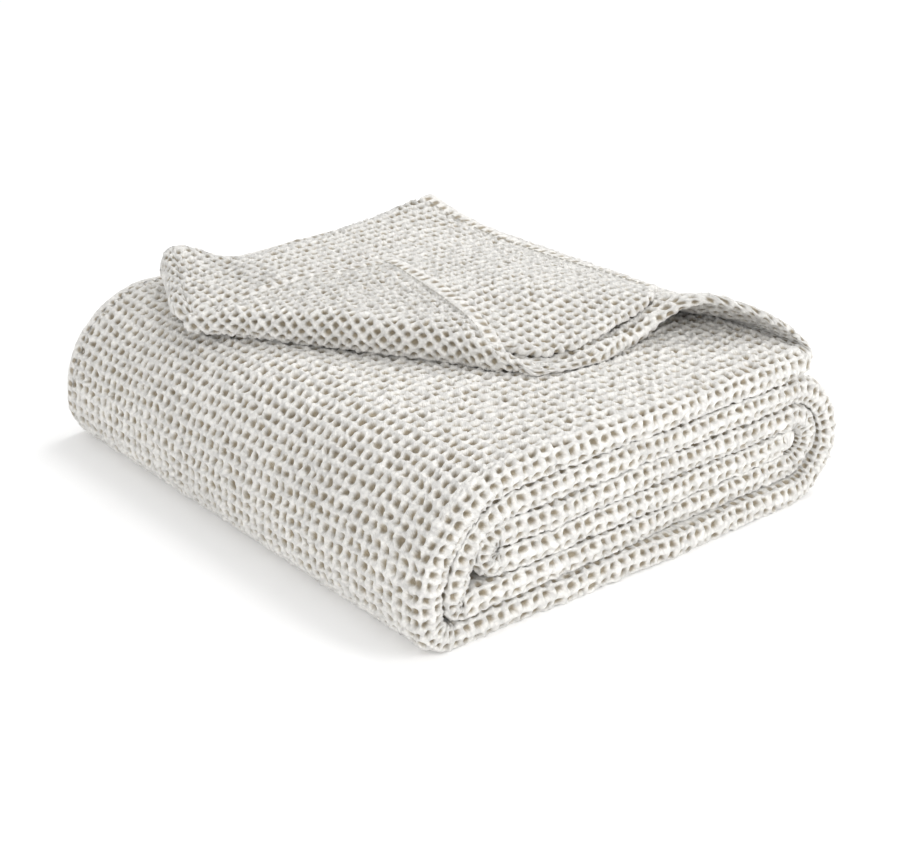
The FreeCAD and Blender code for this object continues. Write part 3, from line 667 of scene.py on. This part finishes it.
def cornerGrid():
    # rings square to the fold: out along the top to the hem line, down its edge, back underneath, and round
    # the plump half-ellipse of the fold itself, whose length unrolls into the weave coordinates
    inset = corner["hem"] / 0.76
    f = np.linspace(corner["frontEnd"], foldLength + 1.5, corner["rings"])
    before, after = [2 * f[0] - f[2], 2 * f[0] - f[1]], [2 * f[-1] - f[-2], 2 * f[-1] - f[-3]]
    f = np.concatenate([before, f, after])[:, None]
    reach = cornerReach(f) - inset
    wide = np.minimum(corner["rollWide"], 0.5 * np.maximum(reach, 2) + 2.0)
    reach = np.maximum(reach, wide + 2.5)
    topCount, edgeCount, underCount = corner["topColumns"], corner["edgeColumns"], corner["underColumns"]
    innerCount, footCount, rollCount = corner["innerColumns"], corner["footColumns"], corner["rollColumns"]
    inside, low = wide + corner["inside"], corner["foot"] + corner["footLift"]
    out = np.linspace(0, 1, topCount, endpoint=False)
    c = wide + out * (reach - wide)
    x, y = cornerPlace(f, c)
    bulge = corner["crown"] * np.exp(-((c - wide) / 12) ** 2)
    zTop = cornerTop(x, y) + bulge
    unrolled = c.copy()
    lap = np.linspace(0, np.pi, edgeCount, endpoint=False)
    cEdge = reach + 0.9 * np.sin(lap)
    zr = cornerTop(*cornerPlace(f, reach))
    zEdge = zr - corner["ply"] * (1 - np.cos(lap)) / 2
    back = np.linspace(0, 1, underCount, endpoint=False)
    cUnder = reach + back * (inside - reach)
    zUnder = cornerTop(*cornerPlace(f, cUnder)) - corner["ply"]
    inner = np.linspace(0, 1, innerCount, endpoint=False)
    zInner0 = cornerTop(*cornerPlace(f, inside)) - corner["ply"]
    cInner = inside + 0 * inner
    zInner = zInner0 + inner * (low - zInner0)
    turn = np.linspace(0, np.pi, rollCount, endpoint=False)
    zHigh = cornerTop(*cornerPlace(f, wide)) + corner["crown"]
    half = (zHigh - corner["foot"]) / 2
    cRoll = wide - wide * np.sin(turn) ** 0.7
    zRoll = corner["foot"] + half * (1 - np.cos(turn))
    foot = np.linspace(0, 1, footCount, endpoint=False)
    cFoot = inside - foot * corner["inside"]
    zFoot = corner["foot"] + corner["footLift"] * (1 - foot) + 0 * f
    arcLength = np.pi * (half + wide) / 2 * (1 - turn / np.pi)
    c = np.concatenate([c, cEdge, cUnder, cInner + 0 * f, cFoot + 0 * f, cRoll], 1)
    z = np.concatenate([zTop, zEdge, zUnder, zInner, zFoot, zRoll], 1)
    wall = zInner0 - corner["foot"]
    flatFoot = cInner[:, :1] + wall + corner["inside"] * foot
    flat = np.concatenate([unrolled, cEdge, cUnder, cInner + inner * wall, flatFoot, wide - arcLength], 1)
    px, py = cornerPlace(f, c)
    ux, uy = cornerPlace(f + 0 * flat, flat)
    pitch, tilt = corner["pitch"], corner["tilt"]
    one = (ux - cornerA[0]) * sideOne[0] + (uy - cornerA[1]) * sideOne[1]
    two = (ux - cornerA[0]) * sideTwo[0] + (uy - cornerA[1]) * sideTwo[1]
    uv = np.stack([(one - tilt * two) / pitch[0], two / pitch[1]], 2)
    hidden = np.zeros(underCount + innerCount + footCount)
    amount = np.concatenate([np.ones(topCount), np.full(edgeCount, 0.5), hidden, np.ones(rollCount)])
    near, far = np.clip((f - f[2]) / 34, 0, 1), np.clip((f[-3] - f) / 6, 0, 1)
    shrink = np.maximum(near ** 0.75, 0.12) * np.sqrt(np.maximum(1 - (1 - far) ** 2, 0.02))
    points = np.stack([px, py, z], 2)
    middle = points.mean(axis=1, keepdims=True)
    middle[..., 2] = corner["foot"] + (middle[..., 2] - corner["foot"]) * (0.35 + 0.65 * shrink)
    points = middle + (points - middle) * shrink[..., None]
    return points, uv, amount * np.ones_like(z) * shrink


points, uv, amount = cornerGrid()
turnedCorner = clothPiece("turnedCorner", points, uv, amount * waffle["relief"] * corner["relief"])
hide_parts("corner_fold", "turned_corner")
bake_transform(turnedCorner)
print("turned corner made")

# Hems are flat ribbons, one square of the weave wide: a row of pits between two rounded edges.
hem = {"wide": 8.8, "relief": 0.9, "perCell": 7, "wave": 0.7, "taper": (4.0, 4.0), "cornerLift": 1.7,
       "cornerThick": 5.6, "cornerTapers": ((26.0, 4.0), (4.0, 12.0)), "cornerBare": (5, 8, 14)}
endHemSize = {"start": (87.2, -76.0), "end": (89.5, 110.0), "lift": 1.6, "wide": 10.0, "thick": 4.6}
sideHemSize = {"depths": (1.75, 5.1), "inset": 4.2, "wide": 8.6, "thick": 3.1, "relief": 0.5}
tongueHemSize = {"x": 99.0, "z": 33.8, "wide": 15.0, "thick": 13.0, "relief": 0.8, "count": 120}


def unit(v):
    return v / np.maximum(np.linalg.norm(v, axis=-1, keepdims=True), 1e-9)


def spread(s, run, v):
    # rows of v, which stand at the lengths run, read off at the lengths s
    return np.stack([np.interp(s, run, v[:, n]) for n in range(3)], 1)


def ribbonPiece(name, centre, side, up, wide, thick, relief, taper=hem["taper"]):
    # a squashed round section carried along the centre line; side points away from the cloth, up out of its
    # face; both ends shrink by a quarter circle
    run = np.concatenate([[0], np.cumsum(np.linalg.norm(np.diff(centre, axis=0), axis=1))])
    count = int(run[-1] / waffle["pitch"] * hem["perCell"])
    s = np.linspace(0, run[-1], count)
    mid, out, top = (spread(s, run, v)[:, None] for v in (centre, side, up))
    lap = np.concatenate([np.linspace(0, np.pi, 12, endpoint=False),
                          np.linspace(np.pi, 2 * np.pi, 7, endpoint=False)])
    across = -np.sign(np.cos(lap)) * np.abs(np.cos(lap)) ** 0.75
    above = np.sign(np.sin(lap)) * np.abs(np.sin(lap)) ** 0.55
    near = np.minimum(s / taper[0], (run[-1] - s) / taper[1])[:, None]
    size = np.sqrt(np.clip(1 - (1 - np.minimum(near, 1)) ** 2, 0.06, 1))
    wave = hem["wave"] * softNoise(s[:, None] / 13, s[:, None] * 0, 61)
    puff = above * thick / 2 * size + 0.6 * wave * softNoise(s[:, None] / 7, s[:, None] * 0, 62)
    points = mid + out * ((across * wide / 2 * size + wave)[..., None]) + top * puff[..., None]
    uv = np.stack([s[:, None] / waffle["pitch"] + 0 * across, 0.5 + across * 0.47 + 0 * s[:, None]], 2)
    amount = relief * (above > -0.1) * size
    return clothPiece(name, points, uv, amount, "hem_cotton", margin=0)


def hemOnSurface(name, start, end, inwards, surface, lift, wide, thick, swung=False, taper=hem["taper"]):
    # a ribbon from start to end in plan, its middle half a width inside that edge, its two edges on the
    # surface; swung carries it aside with the fold's front end
    t = np.linspace(0, 1, 160)[:, None]
    edge = np.array(start) + t * (np.array(end) - np.array(start))
    inside, outside = edge + np.array(inwards) * wide, edge
    if swung:
        inside, outside = (q + np.column_stack(swing((q - cornerA) @ foldRun)) for q in (inside, outside))
    zIn, zOut = (surface(q[:, 0], q[:, 1]) + lift for q in (inside, outside))
    a, b = np.column_stack([inside, zIn]), np.column_stack([outside, zOut])
    side = unit(b - a)
    direction = unit(np.gradient((a + b) / 2, axis=0))
    up = unit(np.cross(direction, side))
    up = up * np.sign(up[:, 2:3])
    made = ribbonPiece(name, (a + b) / 2 - up * thick / 2, side, up, wide, thick, hem["relief"], taper)
    return made, (a, up)


stitch = {"length": 3.7, "gap": 5.0, "radius": 0.42, "above": 0.25, "bareEnd": 6, "sway": 0.12,
          "fromHem": (1.2, 0, 0.1)}


def stitchPiece(name, lines):
    # a small round-ended rod for every stitch, lying along its line and sunk by a fifth; the line's ends
    # stay bare
    lap = np.linspace(0, 2 * np.pi, 6, endpoint=False)
    stations = np.array([-1, -0.86, -0.5, 0, 0.5, 0.86, 1])
    girth = np.sqrt(np.clip(1 - np.abs(stations) ** 4, 0.05, 1))
    blocks, uvs = [], []
    for path, up in lines:
        run = np.concatenate([[0], np.cumsum(np.linalg.norm(np.diff(path, axis=0), axis=1))])
        s = np.arange(stitch["bareEnd"], run[-1] - stitch["bareEnd"], stitch["gap"])
        spot, top = (spread(s, run, v) for v in (path, up))
        direction = unit(spread(s + 1, run, path) - spread(s - 1, run, path))
        side = np.cross(top, direction)
        sway = stitch["sway"] * softNoise(s * 0.7, s * 0, 71)[:, None]
        direction, side = unit(direction + side * sway), unit(side - direction * sway)
        spot, top, direction, side = (v[:, None, None] for v in (spot, top, direction, side))
        length = stations[None, :, None, None] * direction * stitch["length"] / 2
        girdle = np.cos(lap)[None, None, :, None] * side + np.sin(lap)[None, None, :, None] * top
        middle = spot + top * stitch["above"]
        blocks.append(middle + length + girdle * stitch["radius"] * girth[None, :, None, None])
        place = stations[None, :, None] * 2.5, lap[None, None, :] / 6.283 + 0 * s[:, None, None]
        uvs.append(np.stack(np.broadcast_arrays(*place), 3))
    p, uv = np.concatenate(blocks), np.concatenate(uvs)
    count, rows, columns = p.shape[:3]
    quads = ringQuads(rows, columns).reshape(1, -1, 4)
    base = (np.arange(count) * rows * columns)[:, None, None]
    quads = (quads + base).reshape(-1)
    tips = np.stack([np.arange(columns), (rows - 1) * columns + np.arange(columns)[::-1]])[None] + base
    corners = np.concatenate([quads, tips.ravel()])
    starts = np.concatenate([np.arange(len(quads) // 4) * 4, len(quads) + np.arange(count * 2) * columns])
    if outward(p[0]) < 0:
        tipOrder = (len(quads) + np.arange(count * 2 * columns)).reshape(-1, columns)[:, ::-1]
        quadOrder = np.arange(len(quads)).reshape(-1, 4)[:, ::-1]
        corners = corners[np.concatenate([quadOrder.ravel(), tipOrder.ravel()])]
    return loopsToPiece(name, p, corners, starts, uv, None, "stitching_thread")


endHem, endLine = hemOnSurface("endHem", endHemSize["start"], endHemSize["end"], (-1, 0), plyTop,
                               endHemSize["lift"], endHemSize["wide"], endHemSize["thick"])
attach(endHem, "top_flap")
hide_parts("end_hem")
endStitching = stitchPiece("endStitching", [(endLine[0] + np.array(stitch["fromHem"]), endLine[1])])
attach(endStitching, "top_flap")
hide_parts("end_hem_stitching")

cornerHems, cornerLines = [], []
inwardOne, inwardTwo = -np.array([sideOne[1], -sideOne[0]]), -np.array([sideTwo[1], -sideTwo[0]])
bareOne, bareTwo, bareTip = hem["cornerBare"]
runs = ((cornerA + sideOne * bareOne, cornerQ, inwardOne),
        (cornerQ + sideTwo * bareTwo, cornerP - sideTwo * bareTip, inwardTwo))
for index, (start, end, inwards) in enumerate(runs):
    made, line = hemOnSurface(f"cornerHem{index + 1}", start, end, inwards, cornerTop, hem["cornerLift"],
                              hem["wide"], hem["cornerThick"], swung=True,
                              taper=hem["cornerTapers"][index])
    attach(made, "turned_corner")
    cornerHems.append(made)
    cornerLines.append(line)
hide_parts("corner_hems")
cornerStitching = stitchPiece("cornerStitching", cornerLines)
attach(cornerStitching, "turned_corner")
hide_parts("corner_hem_stitching")

for index, inwards in enumerate(sideHemSize["depths"]):
    s = np.arange(2, ends[-1] - 2, 1.5)
    x, z = onCourse(s, inwards + 0 * s)
    xOut, zOut = onCourse(s, inwards - 1 + 0 * s)
    centre = settle(np.stack([x, 0 * s + strip["selvedge"] - sideHemSize["inset"], z], 1))
    up = unit(np.stack([xOut - x, 0 * s, zOut - z], 1))
    side = np.stack([0 * s, 0 * s + 1, 0 * s], 1)
    made = ribbonPiece(f"sideHem{index + 1}", centre, side, up, sideHemSize["wide"], sideHemSize["thick"],
                       sideHemSize["relief"])
    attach(made, "root")
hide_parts("side_hems")

count = tongueHemSize["count"]
y = np.linspace(strip["front"] + 1.5, strip["back"], count)
centre = settle(np.stack([0 * y + tongueHemSize["x"], y, 0 * y + tongueHemSize["z"]], 1))
tongueHem = ribbonPiece("tongueHem", centre, np.array([[1.0, 0, 0]] * count), np.array([[0, 0, 1.0]] * count),
                        tongueHemSize["wide"], tongueHemSize["thick"], tongueHemSize["relief"])
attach(tongueHem, "root")
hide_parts("tongue_hem")
print("hems and stitching made")

# floor, lights and camera
floorMesh = bpy.data.meshes.new("studioFloor")
floorMesh.from_pydata([(-9, -9, 0), (9, -9, 0), (9, 9, 0), (-9, 9, 0)], [], [(0, 1, 2, 3)])
studioFloor = bpy.data.objects.new("studioFloor", floorMesh)
bpy.context.scene.collection.objects.link(studioFloor)
floorMesh.materials.append(plainFinish("paleFloor", (0.95, 0.95, 0.95, 1), 0.9, 0.12))

# each light: place in metres, size in metres, power in watts
studio = {"world": 0.66, "lens": 79.7, "sensor": 36.0,
          "aim": (-0.0538, -0.0699, 0.060), "stand": (-0.642, -0.739, 0.451),
          "lights": [((0.9, 0.3, 1.6), 1.0, 12.0),
                     ((-1.4, -0.9, 0.9), 1.0, 8.4),
                     ((0.6, -1.5, 0.9), 0.9, 12.4)]}
world = bpy.data.worlds.new("studioWorld")
bpy.context.scene.world = world
world.use_nodes = True
world.node_tree.nodes["Background"].inputs[0].default_value = (1, 1, 1, 1)
world.node_tree.nodes["Background"].inputs[1].default_value = studio["world"]
for index, (place, size, power) in enumerate(studio["lights"]):
    lamp = bpy.data.lights.new(f"softBox{index}", "AREA")
    lamp.energy, lamp.size = power, size
    box = bpy.data.objects.new(f"softBox{index}", lamp)
    box.location = place
    box.rotation_euler = (-Vector(place)).to_track_quat("-Z", "Y").to_euler()
    bpy.context.scene.collection.objects.link(box)
bpy.context.scene.view_settings.view_transform = "Standard"

lens = bpy.data.cameras.new("viewCamera")
lens.lens, lens.sensor_width = studio["lens"], studio["sensor"]
viewCamera = bpy.data.objects.new("viewCamera", lens)
aim, stand = Vector(studio["aim"]), Vector(studio["stand"])
viewCamera.location = stand
viewCamera.rotation_euler = (aim - stand).to_track_quat("-Z", "Y").to_euler()
bpy.context.scene.collection.objects.link(viewCamera)
bpy.context.scene.camera = viewCamera
